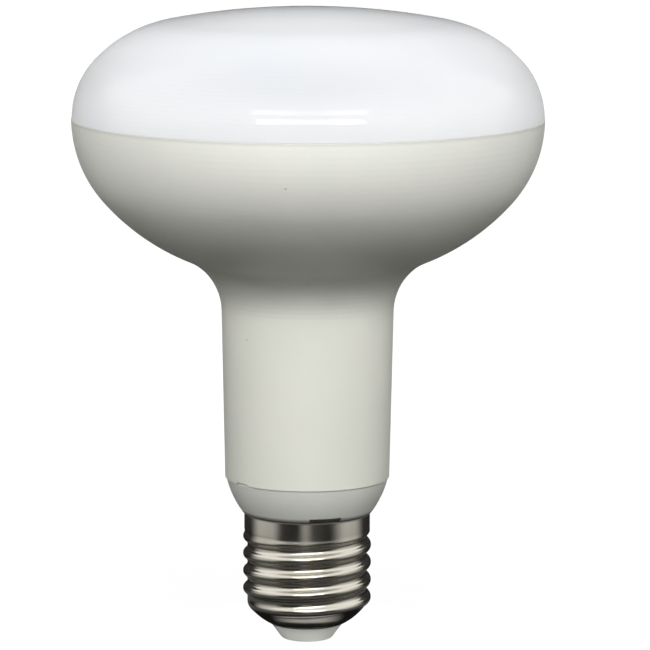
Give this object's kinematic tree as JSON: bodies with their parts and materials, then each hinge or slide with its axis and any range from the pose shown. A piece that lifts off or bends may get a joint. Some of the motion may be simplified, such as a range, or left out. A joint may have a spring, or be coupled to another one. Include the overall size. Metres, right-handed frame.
{
  "type": "led reflector bulb",
  "caption": "LED reflector lamp with a wide opal dome, a mushroom shaped pearl housing with a long neck, and an E27 screw cap, standing on its cap",
  "frame": {"origin": "middle of the flat of the centre contact, the lowest point of the lamp", "axes": "+Z is the axis of the lamp, from the screw cap up to the dome; -Y is the front that the picture shows; the collar's notch is at the front, a little towards +X"},
  "size_m": [0.095, 0.095, 0.129],
  "materials": {
    "opal_plastic": "glossy opal white moulding",
    "pearl_plastic": "satin pearl grey with a faint warm green cast",
    "collar_plastic": "satin grey white moulding",
    "nickel_sheet": "polished nickel plate on thin rolled sheet",
    "insulator_plastic": "semi matt grey white moulding",
    "contact_metal": "nickel plated rivet, slightly worn"
  },
  "bodies": {
    "root": {"diffuser": "opal_plastic", "reflector_housing": "pearl_plastic", "neck_collar": "collar_plastic", "screw_cap": "nickel_sheet", "cap_insulator": "insulator_plastic", "centre_contact": "contact_metal"}
  },
  "joints": []
}
